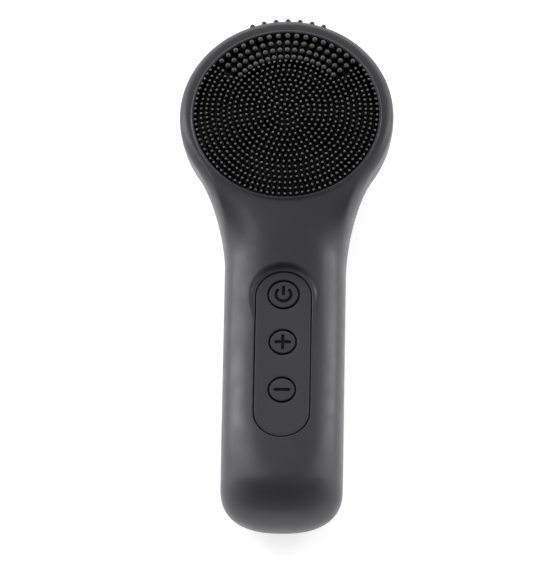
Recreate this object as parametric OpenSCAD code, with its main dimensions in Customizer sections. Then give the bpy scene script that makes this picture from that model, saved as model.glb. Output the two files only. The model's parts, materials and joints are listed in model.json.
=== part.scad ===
/* [Body] */
// Whole length, from the foot to the tips of the end nodules
body_l = 163.2; // [163:0.1:163.5]
// Width of the handle
handle_w = 36.4; // [35.5:0.1:37]
// Depth of the handle, back to front
handle_d = 28; // [27.5:0.5:29]
// Length of the rounding at the foot
foot_l = 13; // [12:0.5:14]
// Exponent of the foot's superellipse outline
foot_n = 2.5; // [2.2:0.1:2.8]
// Radius of the head, seen from the front
head_r = 32.3; // [32:0.1:32.6]
// Distance from the foot to the centre of the head
head_s = 130.1; // [129.8:0.1:130.3]
// Height of the head's face above the flat of the back
face_z = 32; // [31.5:0.5:33]
// Rounding of the head's front edge
edge_r = 2.8; // [2.6:0.1:3.2]
// Radius of the concave flare at the neck
neck_r = 50; // [46:1:54]
// Where the front begins to rise towards the head
rise_start = 56; // [54:1:60]
// Where the front reaches the height of the face
rise_end = 108; // [104:1:112]

/* [Walls] */
// Thickness of the silicone sleeve
skin_t = 1.8; // [1.6:0.1:2]
// Thickness of the hard shells
shell_t = 1.8; // [1.6:0.1:1.8]
// Gap between a soft part and the hard part under it
fit_gap = 0.1; // [0.05:0.05:0.15]
// Height where the two shells part
split_z = 14; // [13.5:0.5:14.5]

/* [Brush] */
// Distance from the foot to the centre of the brush
brush_s = 129.3; // [129.1:0.1:129.5]
// Radius of the opening that the brush sits in
brush_r = 27.9; // [27.8:0.1:28]
// Width of the raised lip around the brush
lip_w = 0.9; // [0.7:0.1:1]
// Height of the lip above the face
lip_h = 0.5; // [0.3:0.1:0.7]
// How far the bristle floor lies below the face at its edge
floor_drop = 2.4; // [2.2:0.1:2.6]
// Rise of the bristle floor from its edge to its centre
floor_rise = 2.4; // [2:0.1:2.6]
// Height of a fine bristle
bristle_h = 3.8; // [3.4:0.1:4]
// Spacing of the rings of fine bristles
ring_pitch = 1.71; // [1.7:0.01:1.72]
// Diameter of a fine bristle at its root
bristle_d = 0.95; // [0.8:0.05:1]
// Number of rings of fine bristles
rings = 16; // [14:1:16]
// Diameter of a thick stud
stud_d = 1.65; // [1.5:0.05:1.7]
// Rows of thick studs
stud_rows = 4; // [3:1:4]
// Studs in each row
stud_count = 17; // [13:2:19]
// Radius of the innermost row of studs
stud_r = 19; // [18.8:0.1:19.2]
// Spacing of the stud rows
stud_pitch = 2.6; // [2.5:0.05:2.65]

/* [Nodules] */
// Radius of a massage nodule
nodule_r = 0.8; // [0.7:0.05:0.85]
// Spacing of the nodules
nodule_pitch = 3.7; // [3.6:0.1:4]
// Rows of nodules over the end and back of the head
nodule_rows = 7; // [5:1:7]

/* [Keypad] */
// Width of the keypad panel
pad_w = 16.4; // [16:0.1:17]
// Where the panel starts, from the foot
pad_start = 23.8; // [23:0.1:24.5]
// Where the panel ends, from the foot
pad_end = 78.3; // [77.5:0.1:79]
// Height of the panel's front face
pad_z = 27.6; // [27.5:0.1:27.7]
// Thickness of the panel
pad_t = 1.4; // [1.3:0.1:1.4]
// Groove between the panel and the sleeve
pad_gap = 0.35; // [0.3:0.05:0.4]
// Width of the flat ledge outside the groove
ledge_w = 1.2; // [1:0.1:1.4]
// Diameter of the hole around the power key
power_hole_d = 9.8; // [9.6:0.1:10]
// Diameter of the hole around the plus and minus keys
level_hole_d = 8.6; // [8.4:0.1:8.8]
// Width of the gap around each key
key_gap = 0.6; // [0.5:0.05:0.7]
// Travel of a key
key_travel = 0.25; // [0.2:0.01:0.25]

/* [Power] */
// Diameter of the battery cell
cell_d = 14; // [13.5:0.1:14]
// Length of the battery cell
cell_l = 50; // [48:1:50]
// Diameter of the motor
motor_d = 16; // [15.5:0.1:16]
// Length of the motor can
motor_l = 22; // [20:1:22]
// Radius of the charging socket's bore
jack_r = 1.25; // [1.2:0.05:1.3]
// Depth of the charging socket's bore
jack_l = 9; // [8:0.5:9]

/* [Hidden] */

skin_color = "#4a4852";
brush_color = "#1d1c1f";
panel_color = "#3f3d45";
shell_color = "#333337";
steel_color = "#b9bcc2";
board_color = "#1f5c3a";
gold_color = "#c9a23c";
rubber_color = "#2b2b2b";
chip_color = "#242428";
socket_color = "#2f2f33";
lead_color = "#b3261e";
cream_color = "#e8e4d8";
curve_fn = 64;
small_fn = 32;
eps = 0.02;
// How far a cutter runs past the faces that it cuts
over = 1;

// The body is described along s, the distance from the foot, with the origin below its middle.
flare_x = handle_w / 2 + neck_r;
flare_s = head_s - sqrt(pow(head_r + neck_r, 2) - pow(flare_x, 2));
flare_angle = atan2(head_s - flare_s, flare_x);
back_sink = 0.7;
top_n = 3;
back_n = 2.8;
bowl_n = 2.2;
foot_round_n = 2;
foot_blend_l = 30;
shell_inset = skin_t + fit_gap;
cavity_inset = shell_inset + shell_t;
wall_mid = shell_inset + 0.3;
seal_inset = shell_inset + 0.6;
seal_w = 0.6;
seal_h = 0.8;
seal_slack = 0.05;
// Steps along the outline and across it, for the outer form and for the forms inside it
outer_steps = [6, 7, 8, 17, 10];
inner_steps = [4, 4, 5, 11, 7];

floor_edge_z = face_z - floor_drop;
membrane_t = 1.2;
root_t = 0.3;
brush_edge_r = brush_r - 0.1;
skirt_t = 1;
skirt_z = 26.5;
skirt_inner_r = brush_edge_r - skirt_t;
retainer_w = 1.5;
retainer_h = 1.7;
plate_z = 24.8;
plate_t = 1.6;
plate_screw_ring_r = 22;
plate_screw_angles = [90, 210, 330];
plate_head_h = 1.2;
plate_screw_l = 7.5;
plate_pilot_l = 6.5;
stud_step = 5.95;
stud_span = stud_step * (stud_count - 1) / 2;

key_s = [70.8, 55, 39.2];
icon_depth = 0.25;
icon_w = 0.7;
power_icon_r = 2.6;
power_icon_cut = 1.4;
level_icon_l = 4.8;
key_rise = 0.1;
ledge_t = 1;
collar_w = 1.2;
collar_bite = 0.3;
collar_offset = pad_gap + ledge_w + collar_w;
seat_offset = 3.5;
shell_seat_z = pad_z - pad_t - fit_gap;
key_clearance = 0.15;
key_z = shell_seat_z + key_travel + key_clearance;
plunger_r = 1.5;
plunger_gap = 0.15;
stem_r = 1;
switch_w = 6;
switch_h = 3;
stem_well_z = 1;
stem_gap = 0.1;
switch_clearance = 0.25;

board_z = 19.8;
board_t = 1.2;
board_top = board_z + board_t;
plunger_z = board_top + switch_h + key_travel + switch_clearance;
stem_z = board_top + stem_well_z + key_travel + switch_clearance;
board_w = 22;
board_s = [22, 84];
post_x = 9.2;
post_s = [26, 80];
post_r = 1.6;
capacitor_s = [33, 43, 60];
resistor_s = [36, 42, 48, 54, 60];

cell_s = 24;
cell_z = 11.25;
tab_t = 0.2;
tab_w = 5;
tab_h = 8;
cradle_s = [31, 63];
cradle_w = 15;
cradle_l = 4;
cradle_h = 5.2;
motor_s = 98;
motor_z = 13;
motor_r = motor_d / 2;
can_t = 0.8;
end_cap_t = 2;
magnet_t = 1.55;
magnet_l = 14;
rotor_r = motor_r - 2.8;
rotor_l = 12;
commutator_r = 2.1;
commutator_l = 3.6;
commutator_start = 1.2;
rotor_start = 5;
magnet_start = 4;
shaft_tail = 1.5;
shaft_r = 1;
shaft_end = 132;
weight_s = 123;
weight_l = 8;
weight_r = 6.5;
weight_hub_r = 2.2;
bushing_r = 2.6;
bushing_l = 2;
run_gap = 0.05;
clamp_s = 109;
clamp_x = 11;
clamp_t = 1.2;
clamp_half_l = 3;
clamp_foot_w = 5.4;
clamp_post_r = 2;

jack_s = 14;
jack_hole_r = jack_r + 0.35;
jack_nose_r = 2.4;
jack_flange_r = 3.9;
jack_mouth_z = 2.3;
jack_flange_z = 5.1;
jack_seal_h = 0.8;
jack_seal_w = 1.2;
jack_top = 13.2;
jack_wall = 1.3;
jack_pocket_top = 9;

// Screws that join the shells: side offset, distance from the foot, height of the head's underside
shell_screw_spots = [[8, 16, 4.8], [11, 90, 5.9], [17.2, 140, 10.6]];
shell_screw_r = 1;
shell_head_r = 2;
shell_head_h = 1.4;
shell_screw_bite = 4.5;
shell_pilot_l = 5;
small_screw_r = 0.8;
small_head_r = 1.5;
small_head_h = 1;
small_screw_l = 6;
screw_gap = 0.1;
boss_r = 2.6;
rib_w = 1.6;

// Routes of the inner leads, as side offset, distance from the foot and height
lead_r = 0.45;
lead_sides = 8;
lead_pad_z = board_z - lead_r;
cell_plus_route = [[1.5, 74.5, 12.5], [1.5, 75.3, 13.2], [1.5, 75.8, 15], [1.5, 76.2, 17],
    [1.5, 77.2, 17.8]];
cell_minus_route = [[-1, 23.4, 12.5], [-2.5, 22.6, 13.5], [-5, 22.2, 15.5], [-6.5, 24.5, 16.8],
    [-6.6, 28, 17], [-6.6, 50, 17], [-6.6, 72, 17], [-5.4, 75, 17.4], [-2.8, 76.4, 17.8], [-1.5, 77, 17.8]];
motor_route = [[4.2, 95, 15.5], [4.2, 93, 15.4], [4.6, 90, 16.4], [5.2, 87, 18.2], [5.5, 85, lead_pad_z],
    [5.5, 82.5, lead_pad_z]];
jack_route = [[2.4, 14.65, 14], [2.4, 14.8, 15.2], [2.5, 15.8, 16.6], [2.7, 18, 18], [3, 20.6, 19.1],
    [3, 22.2, lead_pad_z], [3, 23.6, lead_pad_z]];

function smooth(t) = let (c = min(max(t, 0), 1)) c * c * (3 - 2 * c);
function mix(a, b, t) = a + (b - a) * t;
function super_arc(p, n) = pow(max(1 - pow(p, n), 0), 1 / n);

// Half outline of the body as lines from its spine to its edge, each [spine s, edge x, edge s, head share]
function foot_lines(d, n) = [for (i = [0:n - 1]) let (a = 90 * i / n)
    [foot_l, (handle_w / 2 - d) * pow(sin(a), 2 / foot_n),
    foot_l - (foot_l - d) * pow(cos(a), 2 / foot_n), 0]];
function handle_lines(d, n) = [for (i = [0:n - 1]) let (s = mix(foot_l, flare_s, i / n))
    [s, handle_w / 2 - d, s, 0]];
function neck_lines(d, n) = [for (i = [0:n - 1]) let (a = flare_angle * i / n)
    [flare_s + flare_x * tan(a), flare_x - (neck_r + d) * cos(a), flare_s + (neck_r + d) * sin(a),
    smooth(i / n)]];
function head_lines(d, n) = [for (i = [0:n]) let (a = mix(-flare_angle, 90, i / n))
    [head_s, (head_r - d) * cos(a), head_s + (head_r - d) * sin(a), 1]];
function half_lines(d, n) = concat(foot_lines(d, n[0]), handle_lines(d, n[1]), neck_lines(d, n[2]),
    head_lines(d, n[3]));

// Exponent of the body's section, round at the foot and fuller further up
function section_n(n, s) = mix(foot_round_n, n, smooth(s / foot_blend_l));
function front_z(s, d) = mix(handle_d, face_z, smooth((s - rise_start) / (rise_end - rise_start))) - d;
function middle_z(t) = mix(handle_d / 2, face_z - edge_r, t);
function head_top(p, d) = let (f = (head_r - edge_r) / (head_r - d))
    p < f ? 1 : super_arc((p - f) / (1 - f), 2);
function top_z(p, s, t, d) = middle_z(t) + (front_z(s, d) - middle_z(t))
    * mix(super_arc(p, section_n(top_n, s)), head_top(p, d), t);
function back_z(p, s, t, d) = max(d, middle_z(t) - (middle_z(t) + back_sink - d)
    * mix(super_arc(p, section_n(back_n, s)), super_arc(p, bowl_n), t));

function line_point(line, p, side, front, d) = let (s = mix(line[0], line[2], p), t = line[3])
    [side * line[1] * p, s, front ? top_z(p, s, t, d) : back_z(p, s, t, d)];
function ring_points(lines, p, front, d) = let (last = len(lines) - 1) concat(
    [for (i = [0:last]) line_point(lines[i], p, 1, front, d)],
    [for (i = [last - 1:-1:1]) line_point(lines[i], p, -1, front, d)]);

// The body's outer form, drawn in by an inset, as one closed skin of rings
module body_form(inset) {
    steps = inset == 0 ? outer_steps : inner_steps;
    lines = half_lines(inset, steps);
    n = 2 * (len(lines) - 1);
    ring_steps = steps[4];
    shares = [for (i = [1:ring_steps]) sin(90 * i / ring_steps)];
    points = concat(
        [for (i = [0:ring_steps - 1]) each ring_points(lines, shares[i], true, inset)],
        [for (i = [ring_steps - 2:-1:0]) each ring_points(lines, shares[i], false, inset)]);
    last = (2 * ring_steps - 2) * n;
    faces = concat(
        [for (j = [0:2 * ring_steps - 3], i = [0:n - 1]) let (a = j * n + i, b = j * n + (i + 1) % n)
            each [[a, b, a + n], [b, b + n, a + n]]],
        [for (i = [0:n / 2 - 1]) let (a = (n - i) % n, b = n - i - 1)
            each i == 0 ? [[0, b, 1]] : i == n / 2 - 1 ? [[i, a, i + 1]] : [[i, a, b], [i, b, i + 1]]],
        [for (i = [0:n / 2 - 1]) let (a = (n - i) % n, b = n - i - 1, k = last)
            each i == 0 ? [[k, k + 1, k + b]] : i == n / 2 - 1 ? [[k + i, k + i + 1, k + a]]
            : [[k + i, k + b, k + a], [k + i, k + i + 1, k + b]]]);
    polyhedron(points, faces);
}

// Puts a piece given along s into the part's own frame
module placed() {
    translate([0, -body_l / 2, 0]) children();
}

// Turns a plain mesh boolean into one body of facets
module as_facets() {
    resize([0, 0, 0]) children();
}

module slab(z, h) {
    translate([-body_l, -body_l, z]) cube([2 * body_l, 4 * body_l, h]);
}

module along_s(s, z, x = 0) {
    translate([x, s, z]) rotate([-90, 0, 0]) children();
}

module stadium(width, from, to, z, h) {
    r = width / 2;
    translate([0, 0, z]) linear_extrude(h) {
        translate([0, from + r]) circle(r, $fn = curve_fn);
        translate([0, to - r]) circle(r, $fn = curve_fn);
        translate([-r, from + r]) square([width, to - from - width]);
    }
}

module block(w, from, to, z, h, x = 0) {
    translate([x - w / 2, from, z]) cube([w, to - from, h]);
}

module ring(r_out, r_in, z, h, fn = curve_fn) {
    translate([0, 0, z]) difference() {
        cylinder(r = r_out, h = h, $fn = fn);
        translate([0, 0, -1]) cylinder(r = r_in, h = h + 2, $fn = fn);
    }
}

// Point on the end of the head for row j of the nodules, which runs from the front edge over to the back
function nodule_rho(j) = j == 0 ? mix((head_r - edge_r) / head_r, 1, 0.9) : cos(8.5 * j - 4);
function nodule_z(j) = j == 0 ? top_z(nodule_rho(0), head_s, 1, 0) : back_z(nodule_rho(j), head_s, 1, 0);

module nodules() {
    for (j = [0:nodule_rows - 1]) {
        r = head_r * nodule_rho(j);
        count = 7 - (j % 2);
        for (i = [0:count - 1]) {
            a = 90 + (i - (count - 1) / 2) * nodule_pitch / head_r * 180 / PI;
            translate([r * cos(a), head_s + r * sin(a), nodule_z(j)]) sphere(nodule_r, $fn = 8);
        }
    }
}

// Everything within an offset of the panel's outline, above a height
module round_pad(offset, z) {
    stadium(pad_w + 2 * offset, pad_start - offset, pad_end + offset, z, face_z);
}

module silicone_sleeve() {
    color(skin_color) placed() as_facets() difference() {
        union() {
            difference() {
                union() {
                    body_form(0);
                    nodules();
                    translate([0, brush_s, 0]) ring(brush_r + lip_w, brush_r, face_z - over, lip_h + over);
                }
                body_form(skin_t);
            }
            intersection() {
                body_form(skin_t - collar_bite);
                round_pad(collar_offset, pad_z - ledge_t);
            }
        }
        round_pad(pad_gap + ledge_w, pad_z);
        round_pad(pad_gap, split_z);
        translate([0, brush_s, split_z]) cylinder(r = brush_r, h = face_z, $fn = curve_fn);
        translate([0, jack_s, -over]) cylinder(r = jack_hole_r, h = skin_t + 2 * over, $fn = small_fn);
    }
}

// Height of the bristle floor at distance r from the centre of the brush, and of the pad under it
function floor_z(r) = floor_edge_z + floor_rise * (1 - pow(r / brush_edge_r, 2));
function pad_top(r) = floor_z(r) - root_t;

module brush_pad() {
    steps = 14;
    radii = [for (i = [0:steps]) brush_edge_r * i / steps];
    color(brush_color) placed() translate([0, brush_s, 0]) {
        rotate_extrude($fn = curve_fn) polygon(concat(
            [for (r = radii) [r, pad_top(r)]],
            [[brush_edge_r, skirt_z], [skirt_inner_r, skirt_z],
                [skirt_inner_r, pad_top(skirt_inner_r) - membrane_t]],
            [for (i = [steps - 1:-1:0]) [radii[i], pad_top(radii[i]) - membrane_t]]));
        for (j = [0:stud_rows - 1], i = [0:stud_count - 1]) {
            r = stud_r + j * stud_pitch;
            a = 90 - stud_span + i * stud_step;
            translate([r * cos(a), r * sin(a), pad_top(r) - 0.2]) {
                cylinder(d = stud_d, h = bristle_h - stud_d / 2, $fn = small_fn);
                translate([0, 0, bristle_h - stud_d / 2]) sphere(d = stud_d, $fn = small_fn);
            }
        }
    }
}

// The fine bristles stand in rings. Each ring is drawn as one thin hoop on a common root, and the hoops
// stop at the sector that holds the studs.
module fine_bristles() {
    half = bristle_d / 2;
    first_cut = stud_r - stud_pitch / 2;
    sector = 2 * stud_span + 2 * stud_step;
    color(brush_color) placed() translate([0, brush_s, 0]) difference() {
        rotate_extrude($fn = curve_fn) polygon(concat(
            [for (i = [0:rings]) [i * ring_pitch, pad_top(i * ring_pitch)]],
            [for (i = [rings:-1:1]) let (r = i * ring_pitch) each [
                [r + half, floor_z(r)], [r + half, floor_z(r) + bristle_h],
                [r - half, floor_z(r) + bristle_h], [r - half, floor_z(r)]]],
            [[half, floor_z(0)], [half, floor_z(0) + bristle_h], [0, floor_z(0) + bristle_h]]));
        rotate([0, 0, 90 - sector / 2]) rotate_extrude(angle = sector, $fn = curve_fn)
            translate([first_cut, skirt_z]) square([brush_r, face_z]);
    }
}

module brush_backing_plate() {
    color(shell_color) placed() translate([0, brush_s, 0]) difference() {
        translate([0, 0, plate_z]) cylinder(r = brush_edge_r, h = plate_t, $fn = curve_fn);
        for (a = plate_screw_angles)
            rotate([0, 0, a]) translate([plate_screw_ring_r, 0, plate_z - over])
                cylinder(r = shell_screw_r + screw_gap, h = plate_t + 2 * over, $fn = small_fn);
    }
}

module backing_screws() {
    color(steel_color) placed() translate([0, brush_s, 0])
        for (a = plate_screw_angles)
            rotate([0, 0, a]) translate([plate_screw_ring_r, 0, plate_z + plate_t])
                screw(shell_screw_r, shell_head_r, plate_head_h, plate_screw_l);
}

module brush_retaining_ring() {
    color(shell_color) placed() translate([0, brush_s, 0])
        ring(skirt_inner_r - fit_gap, skirt_inner_r - fit_gap - retainer_w, skirt_z, retainer_h);
}

// A screw whose head sits on z = 0 and whose shank points down, with a cross recess
module screw(r, head_r, head_h, shank) {
    difference() {
        cylinder(r = head_r, h = head_h, $fn = small_fn);
        for (a = [0, 90])
            rotate([0, 0, a]) translate([-head_r * 0.6, -head_r * 0.12, head_h * 0.45])
                cube([head_r * 1.2, head_r * 0.24, head_h]);
    }
    translate([0, 0, -shank]) cylinder(r = r, h = shank, $fn = small_fn);
}

module small_screw() {
    screw(small_screw_r, small_head_r, small_head_h, small_screw_l);
}

module mirrored_x() {
    children();
    mirror([1, 0, 0]) children();
}

module shell_wall() {
    difference() {
        body_form(shell_inset);
        body_form(cavity_inset);
    }
}

module seal_groove() {
    intersection() {
        slab(split_z - seal_h / 2 - seal_slack, seal_h + 2 * seal_slack);
        difference() {
            body_form(seal_inset - seal_slack);
            body_form(seal_inset + seal_w + seal_slack);
        }
    }
}

// A boss in the head, tied to the wall by a rib that points away from the middle of the head
module head_boss(x, s, z) {
    translate([x, s, z]) {
        cylinder(r = boss_r, h = plate_z - z, $fn = small_fn);
        rotate([0, 0, atan2(s - head_s, x)])
            translate([0, -rib_w / 2, 0]) cube([head_r, rib_w, plate_z - z]);
    }
}

module front_bosses() {
    for (spot = shell_screw_spots)
        mirrored_x()
            if (spot[1] > rise_end)
                head_boss(spot[0], spot[1], split_z);
            else
                translate([spot[0], spot[1], split_z]) cylinder(r = boss_r, h = face_z, $fn = small_fn);
    for (a = plate_screw_angles)
        head_boss(plate_screw_ring_r * cos(a), brush_s + plate_screw_ring_r * sin(a), split_z + 1);
    round_pad(seat_offset, shell_seat_z - shell_t);
}

module front_shell() {
    color(shell_color) placed() as_facets() difference() {
        union() {
            intersection() {
                shell_wall();
                slab(split_z, face_z);
            }
            intersection() {
                body_form(wall_mid);
                front_bosses();
            }
        }
        seal_groove();
        translate([0, brush_s, plate_z]) cylinder(r = brush_r, h = face_z, $fn = curve_fn);
        round_pad(fit_gap, shell_seat_z);
        round_pad(collar_offset + fit_gap, pad_z - ledge_t - fit_gap);
        for (s = key_s)
            translate([0, s, split_z]) cylinder(r = plunger_r + plunger_gap, h = face_z, $fn = small_fn);
        for (spot = shell_screw_spots)
            mirrored_x() translate([spot[0], spot[1], split_z - over])
                cylinder(r = shell_screw_r + eps, h = shell_pilot_l + over, $fn = small_fn);
        translate([0, brush_s, 0])
            for (a = plate_screw_angles)
                rotate([0, 0, a]) translate([plate_screw_ring_r, 0, plate_z - plate_pilot_l])
                    cylinder(r = shell_screw_r + eps, h = plate_pilot_l + over, $fn = small_fn);
    }
}

module rear_posts() {
    for (s = post_s)
        mirrored_x() translate([post_x, s, 0]) cylinder(r = post_r, h = board_z, $fn = small_fn);
    for (spot = shell_screw_spots)
        mirrored_x() translate([spot[0], spot[1], 0]) cylinder(r = boss_r, h = split_z, $fn = small_fn);
    mirrored_x() translate([clamp_x, clamp_s, 0]) cylinder(r = clamp_post_r, h = motor_z, $fn = small_fn);
    translate([0, jack_s, 0]) cylinder(r = jack_flange_r + jack_wall, h = jack_pocket_top, $fn = small_fn);
}

// The hole that a small screw cuts its thread in, below a height
module small_pilot(x, s, z) {
    translate([x, s, z - small_screw_l])
        cylinder(r = small_screw_r + eps, h = small_screw_l + over, $fn = small_fn);
}

module rear_shell() {
    color(shell_color) placed() as_facets() difference() {
        union() {
            intersection() {
                shell_wall();
                slab(0, split_z);
            }
            intersection() {
                body_form(wall_mid);
                rear_posts();
            }
        }
        seal_groove();
        for (spot = shell_screw_spots)
            mirrored_x() translate([spot[0], spot[1], -over]) {
                cylinder(r = shell_screw_r + screw_gap, h = split_z + 2 * over, $fn = small_fn);
                cylinder(r = shell_head_r + screw_gap, h = spot[2] + over, $fn = small_fn);
            }
        for (s = post_s)
            mirrored_x() small_pilot(post_x, s, board_z);
        mirrored_x() small_pilot(clamp_x, clamp_s, motor_z);
        translate([0, jack_s, -over])
            cylinder(r = jack_nose_r + eps, h = jack_flange_z + over, $fn = small_fn);
        translate([0, jack_s, jack_flange_z - jack_seal_h - fit_gap])
            cylinder(r = jack_flange_r + eps, h = jack_top, $fn = small_fn);
    }
}

module shell_gasket() {
    color(rubber_color) placed() as_facets() intersection() {
        slab(split_z - seal_h / 2, seal_h);
        difference() {
            body_form(seal_inset);
            body_form(seal_inset + seal_w);
        }
    }
}

module shell_screws() {
    color(steel_color) placed()
        for (spot = shell_screw_spots)
            mirrored_x() translate([spot[0], spot[1], spot[2]]) rotate([180, 0, 0])
                screw(shell_screw_r, shell_head_r, shell_head_h, split_z - spot[2] + shell_screw_bite);
}

module keypad_panel() {
    holes = [power_hole_d, level_hole_d, level_hole_d];
    color(panel_color) placed() difference() {
        stadium(pad_w, pad_start, pad_end, pad_z - pad_t, pad_t);
        for (i = [0:2])
            translate([0, key_s[i], pad_z - pad_t - over])
                cylinder(d = holes[i], h = pad_t + 2 * over, $fn = curve_fn);
    }
}

module key_cap(s, hole_d) {
    color(panel_color) placed() translate([0, s, key_z]) difference() {
        cylinder(d = hole_d - 2 * key_gap, h = pad_z + key_rise - key_z, $fn = curve_fn);
        translate([0, 0, pad_z + key_rise - key_z - icon_depth]) children();
    }
}

module icon_bar(l, angle) {
    rotate([0, 0, angle]) translate([-l / 2, -icon_w / 2, 0]) cube([l, icon_w, icon_depth + over]);
}

module power_key() {
    key_cap(key_s[0], power_hole_d) {
        difference() {
            ring(power_icon_r, power_icon_r - icon_w, 0, icon_depth + over);
            translate([-power_icon_r, power_icon_cut, -over])
                cube([2 * power_icon_r, power_icon_r, icon_depth + 3 * over]);
        }
        translate([0, power_icon_r / 2, 0]) icon_bar(power_icon_r, 90);
    }
}

module plus_key() {
    key_cap(key_s[1], level_hole_d) {
        icon_bar(level_icon_l, 0);
        icon_bar(level_icon_l, 90);
    }
}

module minus_key() {
    key_cap(key_s[2], level_hole_d) icon_bar(level_icon_l, 0);
}

module plunger(s) {
    color(shell_color) placed() translate([0, s, plunger_z])
        cylinder(r = plunger_r, h = key_z - plunger_z, $fn = small_fn);
}

module power_plunger() {
    plunger(key_s[0]);
}

module plus_plunger() {
    plunger(key_s[1]);
}

module minus_plunger() {
    plunger(key_s[2]);
}

module switch_stem(s) {
    color("#c0392b") placed() translate([0, s, stem_z])
        cylinder(r = stem_r, h = plunger_z - stem_z, $fn = small_fn);
}

module power_stem() {
    switch_stem(key_s[0]);
}

module plus_stem() {
    switch_stem(key_s[1]);
}

module minus_stem() {
    switch_stem(key_s[2]);
}

module tact_switch(s) {
    color(socket_color) placed() translate([0, s, board_top]) difference() {
        translate([-switch_w / 2, -switch_w / 2, 0]) cube([switch_w, switch_w, switch_h]);
        translate([0, 0, stem_well_z]) cylinder(r = stem_r + stem_gap, h = switch_h, $fn = small_fn);
    }
}

module power_switch() {
    tact_switch(key_s[0]);
}

module plus_switch() {
    tact_switch(key_s[1]);
}

module minus_switch() {
    tact_switch(key_s[2]);
}

module circuit_board() {
    color(board_color) placed() difference() {
        block(board_w, board_s[0], board_s[1], board_z, board_t);
        for (s = post_s)
            mirrored_x() translate([post_x, s, board_z - over])
                cylinder(r = small_screw_r + screw_gap, h = board_t + 2 * over, $fn = small_fn);
    }
}

module board_screws() {
    color(steel_color) placed()
        for (s = post_s)
            mirrored_x() translate([post_x, s, board_top]) small_screw();
}

// A chip on the board with four legs down each side
module chip(s, w, l, h) {
    legs = 4;
    leg_l = 0.8;
    leg_w = 0.4;
    leg_h = 0.5;
    block(w, s - l / 2, s + l / 2, board_top, h);
    for (i = [0:legs - 1], side = [-1, 1])
        translate([side * (w + leg_l) / 2, s + ((i + 0.5) / legs - 0.5) * l, board_top + leg_h / 2])
            cube([leg_l, leg_w, leg_h], center = true);
}

module controller_chip() {
    color(chip_color) placed() chip(s = 47, w = 5, l = 6, h = 1.4);
}

module charge_chip() {
    color(chip_color) placed() chip(s = 30, w = 4, l = 5, h = 1.4);
}

module charge_led() {
    color("white") placed() block(w = 1.6, from = 62.2, to = 63, z = board_top, h = 0.7);
}

module board_capacitors() {
    color("#9a7b4f") placed()
        for (s = capacitor_s)
            block(w = 2, from = s, to = s + 1.2, z = board_top, h = 1, x = 7);
}

module board_resistors() {
    color("#202020") placed()
        for (s = resistor_s)
            block(w = 1.6, from = s, to = s + 0.8, z = board_top, h = 0.5, x = -7);
}

module battery_connector() {
    color(cream_color) placed() block(w = 7, from = 77.5, to = 82, z = board_z - 3, h = 3);
}

module battery_cell() {
    color("#3a77b0") placed() along_s(cell_s, cell_z) cylinder(d = cell_d, h = cell_l, $fn = curve_fn);
}

module battery_cradle() {
    color(shell_color) placed()
        for (s = cradle_s)
            difference() {
                block(cradle_w, s, s + cradle_l, cavity_inset + 0.2, cradle_h);
                along_s(s - over, cell_z)
                    cylinder(r = cell_d / 2 + eps, h = cradle_l + 2 * over, $fn = curve_fn);
            }
}

module battery_tabs() {
    color(steel_color) placed() {
        block(tab_w, cell_s - tab_t, cell_s, cell_z - tab_h / 2, tab_h);
        block(tab_w, cell_s + cell_l, cell_s + cell_l + tab_t, cell_z - tab_h / 2, tab_h);
    }
}

module battery_foam() {
    color("#55555a") placed()
        block(w = 9, from = 34, to = 62, z = cell_z + cell_d / 2 + eps,
            h = board_z - cell_z - cell_d / 2 - 2 * eps);
}

module motor_can() {
    color(steel_color) placed() along_s(motor_s, motor_z) difference() {
        cylinder(r = motor_r, h = motor_l, $fn = curve_fn);
        translate([0, 0, -over]) cylinder(r = motor_r - can_t, h = motor_l + over - can_t, $fn = curve_fn);
        translate([0, 0, -over]) cylinder(r = bushing_r, h = motor_l + 2 * over, $fn = small_fn);
    }
}

module motor_end_cap() {
    color(cream_color) placed() along_s(motor_s - end_cap_t, motor_z) difference() {
        cylinder(r = motor_r, h = end_cap_t, $fn = curve_fn);
        translate([0, 0, -over]) cylinder(r = bushing_r, h = end_cap_t + 2 * over, $fn = small_fn);
    }
}

module motor_magnets() {
    r = motor_r - can_t - run_gap;
    split_w = 4;
    color("#37373b") placed() along_s(motor_s + magnet_start, motor_z) difference() {
        ring(r, r - magnet_t, 0, magnet_l);
        translate([-split_w / 2, -motor_r, -over]) cube([split_w, motor_d, magnet_l + 2 * over]);
    }
}

module rotor_core() {
    slots = 3;
    slot_w = 1;
    slot_depth = 0.8;
    color("#8a4b2a") placed() along_s(motor_s + rotor_start, motor_z) difference() {
        cylinder(r = rotor_r, h = rotor_l, $fn = curve_fn);
        for (i = [0:slots - 1])
            rotate([0, 0, 360 * i / slots]) translate([rotor_r - slot_depth, -slot_w / 2, -over])
                cube([slot_depth + over, slot_w, rotor_l + 2 * over]);
        translate([0, 0, -over]) cylinder(r = shaft_r, h = rotor_l + 2 * over, $fn = small_fn);
    }
}

module commutator() {
    color(gold_color) placed() along_s(motor_s + commutator_start, motor_z)
        ring(commutator_r, shaft_r, 0, commutator_l, small_fn);
}

module motor_shaft() {
    color(steel_color) placed() along_s(motor_s - shaft_tail, motor_z)
        cylinder(r = shaft_r, h = shaft_end - motor_s + shaft_tail, $fn = small_fn);
}

module eccentric_weight() {
    color(steel_color) placed() along_s(weight_s, motor_z) difference() {
        union() {
            intersection() {
                cylinder(r = weight_r, h = weight_l, $fn = curve_fn);
                translate([-weight_r, 0, 0]) cube([2 * weight_r, weight_r, weight_l]);
            }
            cylinder(r = weight_hub_r, h = weight_l, $fn = small_fn);
        }
        translate([0, 0, -over]) cylinder(r = shaft_r, h = weight_l + 2 * over, $fn = small_fn);
    }
}

module bushing(s) {
    color(gold_color) placed() along_s(s, motor_z)
        ring(bushing_r, shaft_r + run_gap, 0, bushing_l, small_fn);
}

module front_bushing() {
    bushing(motor_s + motor_l - can_t);
}

module rear_bushing() {
    bushing(motor_s - bushing_l);
}

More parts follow.
